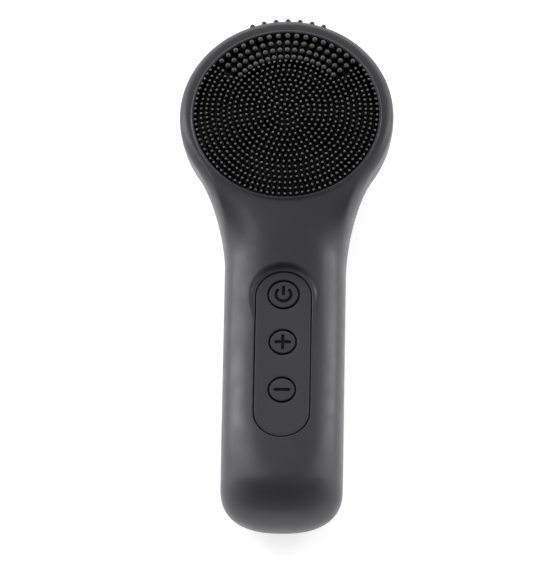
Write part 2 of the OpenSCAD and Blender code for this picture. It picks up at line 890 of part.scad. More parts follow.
module motor_terminals() {
    color(gold_color) placed()
        mirrored_x()
            block(w = 1.8, from = motor_s - 5, to = motor_s - end_cap_t, z = motor_z + 3, h = 0.4, x = 4.2);
}

module motor_cradle() {
    color(shell_color) placed() difference() {
        block(w = 13.2, from = motor_s + 3, to = motor_s + 19, z = cavity_inset + 0.5, h = 7);
        along_s(motor_s, motor_z) cylinder(r = motor_r + eps, h = motor_l, $fn = curve_fn);
    }
}

module motor_clamp() {
    from = clamp_s - clamp_half_l;
    to = clamp_s + clamp_half_l;
    foot_x = clamp_x - 0.2;
    color(shell_color) placed() difference() {
        union() {
            intersection() {
                along_s(from, motor_z) cylinder(r = motor_r + clamp_t, h = to - from, $fn = curve_fn);
                slab(motor_z, face_z);
            }
            mirrored_x() block(clamp_foot_w, from, to, motor_z, clamp_t, foot_x);
        }
        along_s(from - over, motor_z)
            cylinder(r = motor_r + eps, h = to - from + 2 * over, $fn = curve_fn);
        mirrored_x() translate([clamp_x, clamp_s, motor_z - over])
            cylinder(r = small_screw_r + screw_gap, h = clamp_t + 2 * over, $fn = small_fn);
    }
}

module clamp_screws() {
    color(steel_color) placed()
        mirrored_x() translate([clamp_x, clamp_s, motor_z + clamp_t]) small_screw();
}

module charge_jack_body() {
    color(socket_color) placed() translate([0, jack_s, 0]) difference() {
        union() {
            translate([0, 0, jack_mouth_z])
                cylinder(r = jack_nose_r, h = jack_top - jack_mouth_z, $fn = curve_fn);
            translate([0, 0, jack_flange_z])
                cylinder(r = jack_flange_r, h = jack_top - jack_flange_z, $fn = curve_fn);
        }
        translate([0, 0, jack_mouth_z - over]) cylinder(r = jack_r, h = jack_l + over, $fn = curve_fn);
    }
}

module jack_contact() {
    color(gold_color) placed()
        mirrored_x() block(w = 1.2, from = jack_s - 0.15, to = jack_s + 0.15, z = jack_top, h = 2.4, x = 2.4);
}

module jack_seal() {
    color("#7a2f2a") placed() translate([0, jack_s, 0])
        ring(jack_nose_r + jack_seal_w, jack_nose_r, jack_flange_z - jack_seal_h, jack_seal_h);
}

// One tube of round section along a route, as a closed skin of rings
module lead(route) {
    last = len(route) - 1;
    n = lead_sides;
    tilt = [0.2, 0, 1];
    points = [for (i = [0:last]) let (
            step = route[min(i + 1, last)] - route[max(i - 1, 0)],
            along = step / norm(step),
            side = cross(along, tilt) / norm(cross(along, tilt)),
            up = cross(side, along))
        each [for (k = [0:n - 1]) route[i] + lead_r * (cos(360 * k / n) * side + sin(360 * k / n) * up)]];
    faces = concat(
        [[for (k = [0:n - 1]) k], [for (k = [n - 1:-1:0]) last * n + k]],
        [for (i = [0:last - 1], k = [0:n - 1]) let (a = i * n + k, b = i * n + (k + 1) % n)
            each [[a, a + n, b], [b, a + n, b + n]]]);
    polyhedron(points, faces);
}

module battery_leads() {
    color(lead_color) placed() {
        lead(cell_plus_route);
        lead(cell_minus_route);
    }
}

module motor_leads() {
    color(lead_color) placed() mirrored_x() lead(motor_route);
}

module jack_leads() {
    color(lead_color) placed() mirrored_x() lead(jack_route);
}

silicone_sleeve();
brush_pad();
fine_bristles();
brush_backing_plate();
backing_screws();
brush_retaining_ring();
front_shell();
rear_shell();
shell_gasket();
shell_screws();
keypad_panel();
power_key();
plus_key();
minus_key();
power_plunger();
plus_plunger();
minus_plunger();
power_stem();
plus_stem();
minus_stem();
power_switch();
plus_switch();
minus_switch();
circuit_board();
board_screws();
controller_chip();
charge_chip();
charge_led();
board_capacitors();
board_resistors();
battery_connector();
battery_cell();
battery_cradle();
battery_tabs();
battery_foam();
motor_can();
motor_end_cap();
motor_magnets();
rotor_core();
commutator();
motor_shaft();
eccentric_weight();
front_bushing();
rear_bushing();
motor_terminals();
motor_cradle();
motor_clamp();
clamp_screws();
charge_jack_body();
jack_contact();
jack_seal();
battery_leads();
motor_leads();
jack_leads();
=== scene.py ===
import json
import math
import random

import bmesh
import bpy
import numpy as np
from mathutils import Matrix, Vector
from mathutils.geometry import delaunay_2d_cdt


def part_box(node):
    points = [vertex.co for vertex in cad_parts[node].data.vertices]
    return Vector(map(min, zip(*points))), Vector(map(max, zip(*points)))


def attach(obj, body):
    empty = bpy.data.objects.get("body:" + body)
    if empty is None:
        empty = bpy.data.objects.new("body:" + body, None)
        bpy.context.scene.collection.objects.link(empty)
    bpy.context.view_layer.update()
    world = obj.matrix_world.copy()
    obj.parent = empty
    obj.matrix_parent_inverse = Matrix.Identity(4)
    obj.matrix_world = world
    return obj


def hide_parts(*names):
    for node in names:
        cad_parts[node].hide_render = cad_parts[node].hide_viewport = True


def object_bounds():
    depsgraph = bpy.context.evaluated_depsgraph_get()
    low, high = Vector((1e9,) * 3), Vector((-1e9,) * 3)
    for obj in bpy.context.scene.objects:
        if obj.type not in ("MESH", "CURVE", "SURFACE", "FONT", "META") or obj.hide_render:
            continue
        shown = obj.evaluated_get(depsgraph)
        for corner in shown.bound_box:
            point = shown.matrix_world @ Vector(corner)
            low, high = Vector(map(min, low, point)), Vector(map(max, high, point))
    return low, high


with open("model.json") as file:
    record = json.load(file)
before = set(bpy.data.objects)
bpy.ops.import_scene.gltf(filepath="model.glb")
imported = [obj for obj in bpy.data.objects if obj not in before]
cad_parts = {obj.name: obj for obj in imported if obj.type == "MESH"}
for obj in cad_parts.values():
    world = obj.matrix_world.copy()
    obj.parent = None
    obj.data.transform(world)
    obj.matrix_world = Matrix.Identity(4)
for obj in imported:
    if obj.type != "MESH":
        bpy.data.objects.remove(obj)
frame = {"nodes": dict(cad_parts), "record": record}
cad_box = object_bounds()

# Shapes are worked out in millimetres, as (x, s, z) with s the distance from the foot, and built in metres.
MM = 0.001
QUARTER = math.pi / 2


def node_box(node):
    """Lowest and highest corner of a CAD node in millimetres, with y given as s."""
    low, high = np.array(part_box(node)) / MM
    return low - (0, FOOT_Y, 0), high - (0, FOOT_Y, 0)


FOOT_Y = cad_box[0][1] / MM

# The body's own form, as the CAD model has it
HANDLE_W = 36.4
HANDLE_D = 28.0
FOOT_L = 13.0
FOOT_N = 2.5
NECK_R = 50.0
HEAD_S = 130.1
EDGE_R = 2.8
RISE_START = 56.0
RISE_END = 108.0
BACK_SINK = 0.7
TOP_N = 3.0
BACK_N = 2.8
BOWL_N = 2.2
FOOT_ROUND_N = 2.0
FOOT_BLEND_L = 30.0
SKIN_T = 1.8

_, sleeve_high = node_box("silicone_sleeve")
pad_low, pad_high = node_box("brush_pad")
panel_low, panel_high = node_box("keypad_panel")
HEAD_R = sleeve_high[0]
LIP_H = 0.5
LIP_W = 0.9
FACE_Z = 32.0
FLARE_X = HANDLE_W / 2 + NECK_R
FLARE_S = HEAD_S - math.sqrt((HEAD_R + NECK_R) ** 2 - FLARE_X ** 2)
FLARE_ANGLE = math.atan2(HEAD_S - FLARE_S, FLARE_X)
FOOT_QUARTER_L = 1.6 * FOOT_L

# Where the rounded rim starts, as a share of the way from the spine to the edge
BACK_RIM = 0.6
LINING_RIM = 0.96
HANDLE_RIM = 0.86
HEAD_RIM = 0.92
FRONT_CROWDING = 3.0
BACK_CROWDING = 2.6

# The brush
BRUSH_S = (pad_low[1] + pad_high[1]) / 2
PAD_R = pad_high[0]
HOLE_R = PAD_R + 0.1
FLOOR_EDGE_Z = FACE_Z - 2.4
FLOOR_RISE = 2.4
BRISTLE_H = 3.8
RING_PITCH = 1.71
RINGS = 16
LINED_UP_RINGS = 3
STUD_R = 19.0
STUD_PITCH = 2.6
STUD_ROWS = 4
STUD_COUNT = 17
STUD_STEP = 5.95
STUD_D = 1.65

# The keypad
PANEL_Z = panel_high[2]
PANEL_GAP = 0.35
KEY_GAP = 0.6
ENGRAVING_W = 0.86
ENGRAVING_DEPTH = 0.35


def smooth(t):
    """A soft step from 0 to 1 as t goes from 0 to 1."""
    c = np.clip(t, 0, 1)
    return c * c * (3 - 2 * c)


def mix(a, b, t):
    return a + (b - a) * t


def super_arc(p, n):
    """A rounded arc from 1 in the middle to 0 at the edge, rounder with a smaller exponent."""
    return np.maximum(1 - p ** n, 0) ** (1 / n)


def section_exponent(n, s):
    """The body's section is round at the foot and fuller further up."""
    return mix(FOOT_ROUND_N, n, smooth(s / FOOT_BLEND_L))


def front_height(s, inset):
    """Height of the body's ridge, which rises from the handle to the brush's face."""
    return mix(HANDLE_D, FACE_Z, smooth((s - RISE_START) / (RISE_END - RISE_START))) - inset


def middle_height(t):
    """Height of the widest line round the body."""
    return mix(HANDLE_D / 2, FACE_Z - EDGE_R, t)


def head_top(p, inset):
    """The head's front: flat, with a rounded edge."""
    flat = (HEAD_R - EDGE_R) / (HEAD_R - inset)
    return np.where(p < flat, 1, super_arc(np.maximum(p - flat, 0) / (1 - flat), 2))


def top_height(p, s, t, inset):
    arc = mix(super_arc(p, section_exponent(TOP_N, s)), head_top(p, inset), t)
    return middle_height(t) + (front_height(s, inset) - middle_height(t)) * arc


def back_height(p, s, t, inset):
    arc = mix(super_arc(p, section_exponent(BACK_N, s)), super_arc(p, BOWL_N), t)
    return np.maximum(inset, middle_height(t) - (middle_height(t) + BACK_SINK - inset) * arc)


def share_at(x, s, inset):
    """How far a place lies from the spine to the edge, and how much of it belongs to the head."""
    x = np.abs(x)
    half = HANDLE_W / 2 - inset
    below = np.maximum(FOOT_L - s, 0) / (FOOT_L - inset)
    handle = ((x / half) ** FOOT_N + below ** FOOT_N) ** (1 / FOOT_N)
    turn = np.arctan2(s - FLARE_S, FLARE_X - x)
    reach = FLARE_X / np.cos(np.clip(turn, 0, FLARE_ANGLE))
    neck = (reach - np.hypot(FLARE_X - x, s - FLARE_S)) / (reach - NECK_R - inset)
    head = np.hypot(x, s - HEAD_S) / (HEAD_R - inset)
    share = np.where(turn <= 0, handle, np.where(turn < FLARE_ANGLE, neck, head))
    return share, smooth(turn / FLARE_ANGLE)


def outline(inset, pitch):
    """The body's outline round both sides, as rows of spine s, edge x, edge s and head share."""
    half, end, turn = HANDLE_W / 2 - inset, FOOT_L - inset, NECK_R + inset
    a = np.linspace(0, QUARTER, round(FOOT_QUARTER_L / pitch), endpoint=False)
    foot = [np.full_like(a, FOOT_L), half * np.sin(a) ** (2 / FOOT_N),
            FOOT_L - end * np.cos(a) ** (2 / FOOT_N), np.zeros_like(a)]
    s = np.linspace(FOOT_L, FLARE_S, round((FLARE_S - FOOT_L) / pitch), endpoint=False)
    handle = [s, np.full_like(s, half), s, np.zeros_like(s)]
    a = np.linspace(0, FLARE_ANGLE, round(FLARE_ANGLE * turn / pitch), endpoint=False)
    neck = [FLARE_S + FLARE_X * np.tan(a), FLARE_X - turn * np.cos(a), FLARE_S + turn * np.sin(a),
            smooth(a / FLARE_ANGLE)]
    a = np.linspace(-FLARE_ANGLE, QUARTER, round((FLARE_ANGLE + QUARTER) * HEAD_R / pitch))
    head = [np.full_like(a, HEAD_S), (HEAD_R - inset) * np.cos(a), HEAD_S + (HEAD_R - inset) * np.sin(a),
            np.ones_like(a)]
    right = np.concatenate([np.array(part) for part in (foot, handle, neck, head)], axis=1)
    right[1, 0] = right[1, -1] = 0
    left = right[:, -2:0:-1] * np.array([[1], [-1], [1], [1]])
    return np.concatenate([right, left], axis=1)


def rim_share(t, u, inset, front):
    """Share of the way to the edge where a ring of the rounded rim lies, with u 0 at its inner ring."""
    if not front:
        inner = BACK_RIM
    elif inset > 0:
        inner = LINING_RIM
    else:
        inner = mix(HANDLE_RIM, HEAD_RIM, t)
    return 1 - (1 - inner) * (1 - u) ** (FRONT_CROWDING if front else BACK_CROWDING)


def rim_rings(inset, pitch, steps, front):
    """Rings of points over the rounded rim, from the inner edge of the sheet out to the body's edge."""
    spine_s, edge_x, edge_s, t = outline(inset, pitch)
    rings = []
    for u in np.linspace(0, 1, steps + 1):
        p = rim_share(t, u, inset, front)
        s = mix(spine_s, edge_s, p)
        z = top_height(p, s, t, inset) if front else back_height(p, s, t, inset)
        rings.append(np.stack([edge_x * p, s, z], axis=1))
    return rings


def stadium_distance(x, s, low, high):
    """Distance outside a stadium that fills a box, negative inside."""
    r = (high[0] - low[0]) / 2
    return np.hypot(x, s - np.clip(s, low[1] + r, high[1] - r)) - r


def stadium_loop(low, high, offset, pitch):
    """A stadium's outline, moved out by an offset; every offset has the same number of points."""
    r = (high[0] - low[0]) / 2
    turn = np.linspace(0, math.pi, round(math.pi * r / pitch))
    side = np.linspace(low[1] + r, high[1] - r, round((high[1] - low[1] - 2 * r) / pitch))[1:-1]
    reach = r + offset
    top = np.stack([reach * np.cos(turn), high[1] - r + reach * np.sin(turn)], axis=1)
    bottom = np.stack([-reach * np.cos(turn), low[1] + r - reach * np.sin(turn)], axis=1)
    right = np.stack([np.full_like(side, reach), side], axis=1)
    left = np.stack([np.full_like(side, -reach), side[::-1]], axis=1)
    return np.concatenate([right, top, left, bottom])


def circle_loop(s, r, count):
    a = np.linspace(0, 2 * math.pi, count, endpoint=False)
    return np.stack([r * np.cos(a), s + r * np.sin(a)], axis=1)


# How close places on a plan have to be to count as one, in millimetres
MEETING_DISTANCE = 1e-7


def triangles_between(loops, extra, keep):
    """Triangles over a plan through closed loops and extra points; keep says which places are inside."""
    exact = np.concatenate([*loops, extra])
    edges = []
    start = 0
    for loop in loops:
        edges += [(start + i, start + (i + 1) % len(loop)) for i in range(len(loop))]
        start += len(loop)
    places = [Vector(point) for point in exact]
    found, _, faces, sources, _, _ = delaunay_2d_cdt(places, edges, [], 0, MEETING_DISTANCE)
    found = np.array([exact[source[0]] if source else place for place, source in zip(found, sources)])
    faces = np.array(faces)
    centre = found[faces].mean(axis=1)
    return found, faces[keep(centre[:, 0], centre[:, 1])]


def grid(pitch):
    """A grid of places over the whole body's plan."""
    xs = np.arange(-HEAD_R, HEAD_R + pitch, pitch)
    ss = np.arange(0, sleeve_high[1] + pitch, pitch)
    return np.stack(np.meshgrid(xs, ss), axis=-1).reshape(-1, 2)


# How close points have to be to become one, in millimetres, and the shortest edge that is kept, in metres
COARSE_MERGE = 0.002
FINE_MERGE = 0.0005
SHORTEST_EDGE = 1e-8


class Skin:
    """Points in millimetres and faces by index, gathered part by part and joined where they meet."""

    def __init__(self):
        self.points = []
        self.faces = []
        self.kinds = []

    def add(self, points, faces, kind=0):
        start = len(self.points)
        self.points += [tuple(point) for point in np.asarray(points, float)]
        self.faces += [[start + int(i) for i in face] for face in faces]
        self.kinds += [kind] * len(faces)

    def bands(self, rings, kind=0):
        """Quads between closed rings of equal length, each ring following the one before."""
        n = len(rings[0])
        faces = [(j * n + i, (j + 1) * n + i, (j + 1) * n + (i + 1) % n, j * n + (i + 1) % n)
                 for j in range(len(rings) - 1) for i in range(n)]
        self.add(np.concatenate(rings), faces, kind)

    def cap(self, ring, centre, kind=0):
        """A fan from one middle point to a closed ring."""
        n = len(ring)
        self.add(np.concatenate([ring, [centre]]), [(i, (i + 1) % n, n) for i in range(n)], kind)

    def build(self, name, materials, merge=COARSE_MERGE):
        """The finished object, in metres and in the part's frame."""
        mesh = bpy.data.meshes.new(name)
        points = np.array(self.points)
        points[:, 1] += FOOT_Y
        mesh.from_pydata(points * MM, [], self.faces)
        mesh.polygons.foreach_set("material_index", self.kinds)
        for material in materials:
            mesh.materials.append(material)
        work = bmesh.new()
        work.from_mesh(mesh)
        bmesh.ops.remove_doubles(work, verts=work.verts, dist=merge * MM)
        bmesh.ops.dissolve_degenerate(work, edges=work.edges, dist=SHORTEST_EDGE)
        bmesh.ops.recalc_face_normals(work, faces=work.faces)
        work.to_mesh(mesh)
        work.free()
        mesh.shade_smooth()
        piece = bpy.data.objects.new(name, mesh)
        bpy.context.scene.collection.objects.link(piece)
        return piece


def revolve(profile, centre, count):
    """Rings of a turned shape: profile is (radius, height) pairs, centre is (x, s, z)."""
    a = np.linspace(0, 2 * math.pi, count, endpoint=False)
    return [np.stack([centre[0] + r * np.cos(a), centre[1] + r * np.sin(a),
                      np.full(count, centre[2] + h)], axis=1) for r, h in profile]


# ---- Materials ----

# Depths of fine relief, in metres
MOULD_GRAIN = 1e-6
SOFT_WAVES = 6e-6
METAL_LINES = 2e-6
GLASS_WEAVE = 4e-6
WOUND_WIRE = 4e-5


def new_material(name):
    """A material with its nodes, its links and its main shader."""
    material = bpy.data.materials.new(name)
    material.use_nodes = True
    nodes = material.node_tree.nodes
    return material, nodes, material.node_tree.links, nodes["Principled BSDF"]


def noise(nodes, links, scale, detail, stretch=None):
    """Noise in the part's own frame, in features per metre, with an optional stretch along the axes."""
    place = nodes.new("ShaderNodeTexCoord")
    texture = nodes.new("ShaderNodeTexNoise")
    texture.inputs["Scale"].default_value = scale
    texture.inputs["Detail"].default_value = detail
    if stretch is None:
        links.new(place.outputs["Object"], texture.inputs["Vector"])
    else:
        mapping = nodes.new("ShaderNodeMapping")
        mapping.inputs["Scale"].default_value = stretch
        links.new(place.outputs["Object"], mapping.inputs["Vector"])
        links.new(mapping.outputs["Vector"], texture.inputs["Vector"])
    return texture.outputs["Fac"]


NOISE_LOW = 0.3
NOISE_HIGH = 0.7


def ramp(nodes, links, value, low, high, start=NOISE_LOW, end=NOISE_HIGH):
    """Noise turned into a colour between low and high."""
    node = nodes.new("ShaderNodeValToRGB")
    node.color_ramp.elements[0].position = start
    node.color_ramp.elements[1].position = end
    node.color_ramp.elements[0].color = (*low, 1)
    node.color_ramp.elements[1].color = (*high, 1)
    links.new(value, node.inputs["Fac"])
    return node.outputs["Color"]


def span(nodes, links, value, low, high):
    """Noise turned into a number between low and high."""
    node = nodes.new("ShaderNodeMapRange")
    node.inputs["From Min"].default_value = NOISE_LOW
    node.inputs["From Max"].default_value = NOISE_HIGH
    node.inputs["To Min"].default_value = low
    node.inputs["To Max"].default_value = high
    links.new(value, node.inputs["Value"])
    return node.outputs["Result"]


def bump(nodes, links, shader, layers):
    """Stacks bump layers, each (height, depth in metres)."""
    normal = None
    for height, depth in layers:
        node = nodes.new("ShaderNodeBump")
        node.inputs["Strength"].default_value = 1.0
        node.inputs["Distance"].default_value = depth
        links.new(height, node.inputs["Height"])
        if normal is not None:
            links.new(normal, node.inputs["Normal"])
        normal = node.outputs["Normal"]
    links.new(normal, shader.inputs["Normal"])


def shade(color, factor):
    """A lighter or darker shade of a colour."""
    return tuple(channel * factor for channel in color)


def silicone(name, color, rough, grain, spread=0.10, sheen=0.0, specular=0.5):
    """Moulded silicone: slow changes of shade, a matt bloom in patches, and a fine moulded grain."""
    material, nodes, links, shader = new_material(name)
    cloud = noise(nodes, links, 45, 4)
    links.new(ramp(nodes, links, cloud, shade(color, 1 - spread), shade(color, 1 + spread)),
              shader.inputs["Base Color"])
    bloom = noise(nodes, links, 210, 5)
    links.new(span(nodes, links, bloom, rough - 0.05, rough + 0.05), shader.inputs["Roughness"])
    shader.inputs["Specular IOR Level"].default_value = specular
    shader.inputs["Sheen Weight"].default_value = sheen
    shader.inputs["Sheen Roughness"].default_value = 0.5
    fine = noise(nodes, links, 9000, 2)
    soft = noise(nodes, links, 700, 3)
    bump(nodes, links, shader, [(soft, SOFT_WAVES), (fine, grain)])
    return material


def plastic(name, color, rough, grain=2e-6, metallic=0.0):
    """Moulded plastic: a slight change of shade and a fine spark-eroded grain."""
    material, nodes, links, shader = new_material(name)
    cloud = noise(nodes, links, 60, 3)
    links.new(ramp(nodes, links, cloud, shade(color, 0.92), shade(color, 1.06)), shader.inputs["Base Color"])
    grainy = noise(nodes, links, 5000, 2)
    links.new(span(nodes, links, grainy, rough - 0.06, rough + 0.06), shader.inputs["Roughness"])
    shader.inputs["Metallic"].default_value = metallic
    bump(nodes, links, shader, [(grainy, grain)])
    return material


def brushed_metal(name, color, rough):
    """Drawn or turned metal, with fine lines round the part's long axis and darker tarnish in patches."""
    material, nodes, links, shader = new_material(name)
    tarnish = noise(nodes, links, 300, 4)
    links.new(ramp(nodes, links, tarnish, shade(color, 0.78), color, 0.35, 0.6), shader.inputs["Base Color"])
    lines = noise(nodes, links, 900, 3, stretch=(0.15, 12, 0.15))
    links.new(span(nodes, links, lines, rough - 0.08, rough + 0.12), shader.inputs["Roughness"])
    shader.inputs["Metallic"].default_value = 1.0
    bump(nodes, links, shader, [(lines, METAL_LINES)])
    return material


def laminate(name, color):
    """Circuit board: solder mask over a faint glass weave."""
    material, nodes, links, shader = new_material(name)
    place = nodes.new("ShaderNodeTexCoord")
    weave = nodes.new("ShaderNodeTexChecker")
    weave.inputs["Scale"].default_value = 1600
    weave.inputs["Color1"].default_value = (*shade(color, 0.9), 1)
    weave.inputs["Color2"].default_value = (*shade(color, 1.1), 1)
    links.new(place.outputs["Object"], weave.inputs["Vector"])
    links.new(weave.outputs["Color"], shader.inputs["Base Color"])
    shader.inputs["Roughness"].default_value = 0.35
    bump(nodes, links, shader, [(weave.outputs["Fac"], GLASS_WEAVE)])
    return material


def winding(name, color):
    """Enamelled copper wire wound round the rotor."""
    material, nodes, links, shader = new_material(name)
    place = nodes.new("ShaderNodeTexCoord")
    wires = nodes.new("ShaderNodeTexWave")
    wires.inputs["Scale"].default_value = 900
    wires.inputs["Distortion"].default_value = 1.5
    links.new(place.outputs["Object"], wires.inputs["Vector"])
    tint = ramp(nodes, links, wires.outputs["Fac"], shade(color, 0.45), color)
    links.new(tint, shader.inputs["Base Color"])
    shader.inputs["Metallic"].default_value = 0.7
    shader.inputs["Roughness"].default_value = 0.35
    bump(nodes, links, shader, [(wires.outputs["Fac"], WOUND_WIRE)])
    return material


SLEEVE_COLOR = (0.029, 0.028, 0.039)
KEYPAD_COLOR = (0.026, 0.026, 0.033)
BRUSH_COLOR = (0.0025, 0.0025, 0.003)
# Painted shade: the floors of the engraved signs are darkened to stand for the shade in the grooves
ENGRAVING_SHADE_COLOR = (0.002, 0.002, 0.0023)
# Painted highlight: a lighter brush silicone on the bristles' round tips, so they read as lit
BRISTLE_TIP_HIGHLIGHT_COLOR = (0.13, 0.13, 0.135)
# Painted highlight: a lighter brush silicone on the studs' round tips, so they read as lit
STUD_TIP_HIGHLIGHT_COLOR = (0.06, 0.06, 0.065)

slot_materials = {
    "sleeve_silicone": silicone("sleeve_silicone", SLEEVE_COLOR, 0.36, 1.2e-6, sheen=0.05),
    "brush_silicone": silicone("brush_silicone", BRUSH_COLOR, 0.45, MOULD_GRAIN, specular=0.25),
    "keypad_silicone": silicone("keypad_silicone", KEYPAD_COLOR, 0.55, 1.6e-6),
    "shell_plastic": plastic("shell_plastic", (0.012, 0.012, 0.013), 0.6, 4e-6),
    "black_plastic": plastic("black_plastic", (0.03, 0.03, 0.032), 0.45),
    "white_plastic": plastic("white_plastic", (0.78, 0.76, 0.70), 0.35),
    "red_plastic": plastic("red_plastic", (0.5, 0.05, 0.04), 0.38),
    "steel": brushed_metal("steel", (0.62, 0.63, 0.65), 0.28),
    "gold_contact": brushed_metal("gold_contact", (0.75, 0.55, 0.2), 0.25),
    "copper_winding": winding("copper_winding", (0.55, 0.2, 0.07)),
    "board_laminate": laminate("board_laminate", (0.02, 0.16, 0.07)),
    "cell_wrap": plastic("cell_wrap", (0.05, 0.2, 0.42), 0.25, 1e-6),
    "foam": silicone("foam", (0.08, 0.08, 0.085), 0.9, 6e-5, spread=0.3),
    "seal_rubber": silicone("seal_rubber", (0.02, 0.02, 0.02), 0.6, 2e-6),
    "magnet": plastic("magnet", (0.06, 0.06, 0.065), 0.5, 5e-6, metallic=0.6),
    "lead_insulation": silicone("lead_insulation", (0.45, 0.03, 0.025), 0.4, 1e-6),
    "led_lens": plastic("led_lens", (0.85, 0.85, 0.8), 0.2, 1e-6),
}
# A near-black silicone for the floors of the engraved signs: painted shade in the grooves
engraving_shade = silicone("engraving_shade", ENGRAVING_SHADE_COLOR, 0.7, MOULD_GRAIN, specular=0.2)
# Lighter silicones for the bristle and stud tips: painted highlight
bristle_tip_highlight = silicone("bristle_tip_highlight", BRISTLE_TIP_HIGHLIGHT_COLOR, 0.36, MOULD_GRAIN, spread=0.25)
stud_tip_highlight = silicone("stud_tip_highlight", STUD_TIP_HIGHLIGHT_COLOR, 0.34, MOULD_GRAIN, spread=0.2)


def finish_cad_nodes():
    """Gives every CAD node the material of its slot."""
    for row in frame["record"]["subparts"]:
        node = frame["nodes"][row["node"]]
        material = slot_materials[row["material_slot"]]
        if not node.data.materials:
            node.data.materials.append(material)
        for holder in node.material_slots:
            holder.material = material


# ---- Sleeve ----

PANEL_HOLE = (panel_low - PANEL_GAP, panel_high + PANEL_GAP)
LEDGE_START = 35.0
LEDGE_FADE = 20.0
STEP_START = 0.75
STEP_END = 2.0
GROOVE_ROUND = 0.25
WALL_T = 1.0
LIP_N = 2.5


def recess(x, s, surface):
    """How deep the ledge round the keypad lies below the handle, with a rounded step up to it."""
    q = stadium_distance(x, s, *PANEL_HOLE)
    ledge = np.maximum(surface - PANEL_Z, 0) * (1 - smooth((q - STEP_START) / (STEP_END - STEP_START)))
    ledge = ledge * smooth((s - LEDGE_START) / LEDGE_FADE)
    corner = np.clip(GROOVE_ROUND - q, 0, GROOVE_ROUND)
    return ledge + GROOVE_ROUND - np.sqrt(GROOVE_ROUND ** 2 - corner ** 2)


def lip(x, s, surface):
    """Height of the raised lip round the brush, a soft bead."""
    u = np.clip((np.hypot(x, s - BRUSH_S) - HOLE_R) / LIP_W, 0, 1)
    return (FACE_Z + LIP_H - surface) * super_arc(np.abs(2 * u - 1), LIP_N)


def sleeve_front(x, s):
    """Height of the sleeve's outer face on the front."""
    p, t = share_at(x, s, 0)
    surface = top_height(p, s, t, 0)
    return surface + lip(x, s, surface) - recess(x, s, surface)


def sleeve_lining(x, s):
    """Height of the sleeve's inner face on the front."""
    p, t = share_at(x, s, SKIN_T)
    return np.minimum(top_height(p, s, t, SKIN_T), sleeve_front(x, s) - WALL_T)


def inside_sheet(x, s, inset, front):
    """Whether a place lies within the inner ring of the rounded rim."""
    p, t = share_at(x, s, inset)
    return p < rim_share(t, 0, inset, front)


def clear_of_openings(x, s, margin):
    """Whether a place lies further than the two margins from the brush opening and the keypad opening."""
    from_brush = np.hypot(x, s - BRUSH_S) - HOLE_R
    from_panel = stadium_distance(x, s, *PANEL_HOLE)
    return (from_brush > margin[0]) & (from_panel > margin[1])


BRUSH_LOOP_COUNT = 288
PANEL_LOOP_PITCH = 0.5


def opening_loops(offsets):
    """Loops round the brush opening and the keypad opening at the given distances outside them."""
    round_brush = [circle_loop(BRUSH_S, HOLE_R + q, BRUSH_LOOP_COUNT) for q in offsets[0]]
    round_panel = [stadium_loop(*PANEL_HOLE, q, PANEL_LOOP_PITCH) for q in offsets[1]]
    return round_brush, round_panel


# How far the free points of a sheet stay from its rim and from the last loop round each opening
RIM_CLEARANCE = 1.02
EDGE_CLEARANCE = 0.99
BRUSH_CLEARANCE = 0.3
PANEL_CLEARANCE = 0.4


def add_sheet(skin, inset, pitch, steps, spacing, front, height=None, offsets=((), ())):
    """One side of a form: a plan of triangles with its openings, and the rounded rim round it."""
    rings = rim_rings(inset, pitch, steps, front)
    round_brush, round_panel = opening_loops(offsets)
    extra = grid(spacing)
    near_edge, _ = share_at(extra[:, 0], extra[:, 1], inset)
    inner = inside_sheet(extra[:, 0] * RIM_CLEARANCE, extra[:, 1], inset, front)
    inner &= near_edge < EDGE_CLEARANCE
    if front:
        margin = (offsets[0][-1] + BRUSH_CLEARANCE, offsets[1][-1] + PANEL_CLEARANCE)
        inner &= clear_of_openings(extra[:, 0], extra[:, 1], margin)

    def keep(x, s):
        inside = inside_sheet(x, s, inset, front)
        return inside & clear_of_openings(x, s, (0, 0)) if front else inside

    plan, faces = triangles_between([rings[0][:, :2], *round_brush, *round_panel], extra[inner], keep)
    if height is None:
        p, t = share_at(plan[:, 0], plan[:, 1], inset)
        z = back_height(p, plan[:, 1], t, inset)
    else:
        z = height(plan[:, 0], plan[:, 1])
    skin.add(np.column_stack([plan, z]), faces)
    skin.bands(rings)


WALL_STEPS = (0, 0.25, 0.6, 1)


def add_opening_wall(skin, loop):
    """The wall of an opening, from the outer face down to the lining."""
    top = sleeve_front(loop[:, 0], loop[:, 1])
    bottom = sleeve_lining(loop[:, 0], loop[:, 1])
    skin.bands([np.column_stack([loop, mix(top, bottom, u)]) for u in WALL_STEPS])


# The nodules
NODULE_R = 0.8
NODULE_PITCH = 3.7
NODULE_ROWS = 7
NODULE_COUNT = 7
NODULE_ROOT = -0.6
NODULE_TURN_STEPS = 24
FIRST_ROW_OUT = 0.9
ROW_ANGLE = 8.5
ROW_ANGLE_START = -4
PROFILE_START = 0.9
PROFILE_END = 0.5
# A nodule's section: distance from its axis and height over the skin, with a small fillet at its foot
NODULE_SECTION = [(0.22, 0.77), (0.42, 0.67), (0.58, 0.53), (0.70, 0.36), (0.78, 0.20), (0.86, 0.09),
                  (0.98, 0.02), (1.15, -0.02), (1.15, NODULE_ROOT)]


def head_profile():
    """The head's section from its face over the edge to the back, as radius, height and length along it."""
    front_p = np.linspace(PROFILE_START, 1, 60)
    back_p = np.linspace(1, PROFILE_END, 400)[1:]
    r = np.concatenate([front_p, back_p]) * HEAD_R
    z = np.concatenate([top_height(front_p, HEAD_S, 1, 0), back_height(back_p, HEAD_S, 1, 0)])
    length = np.concatenate([[0], np.cumsum(np.hypot(np.diff(r), np.diff(z)))])
    return r, z, length


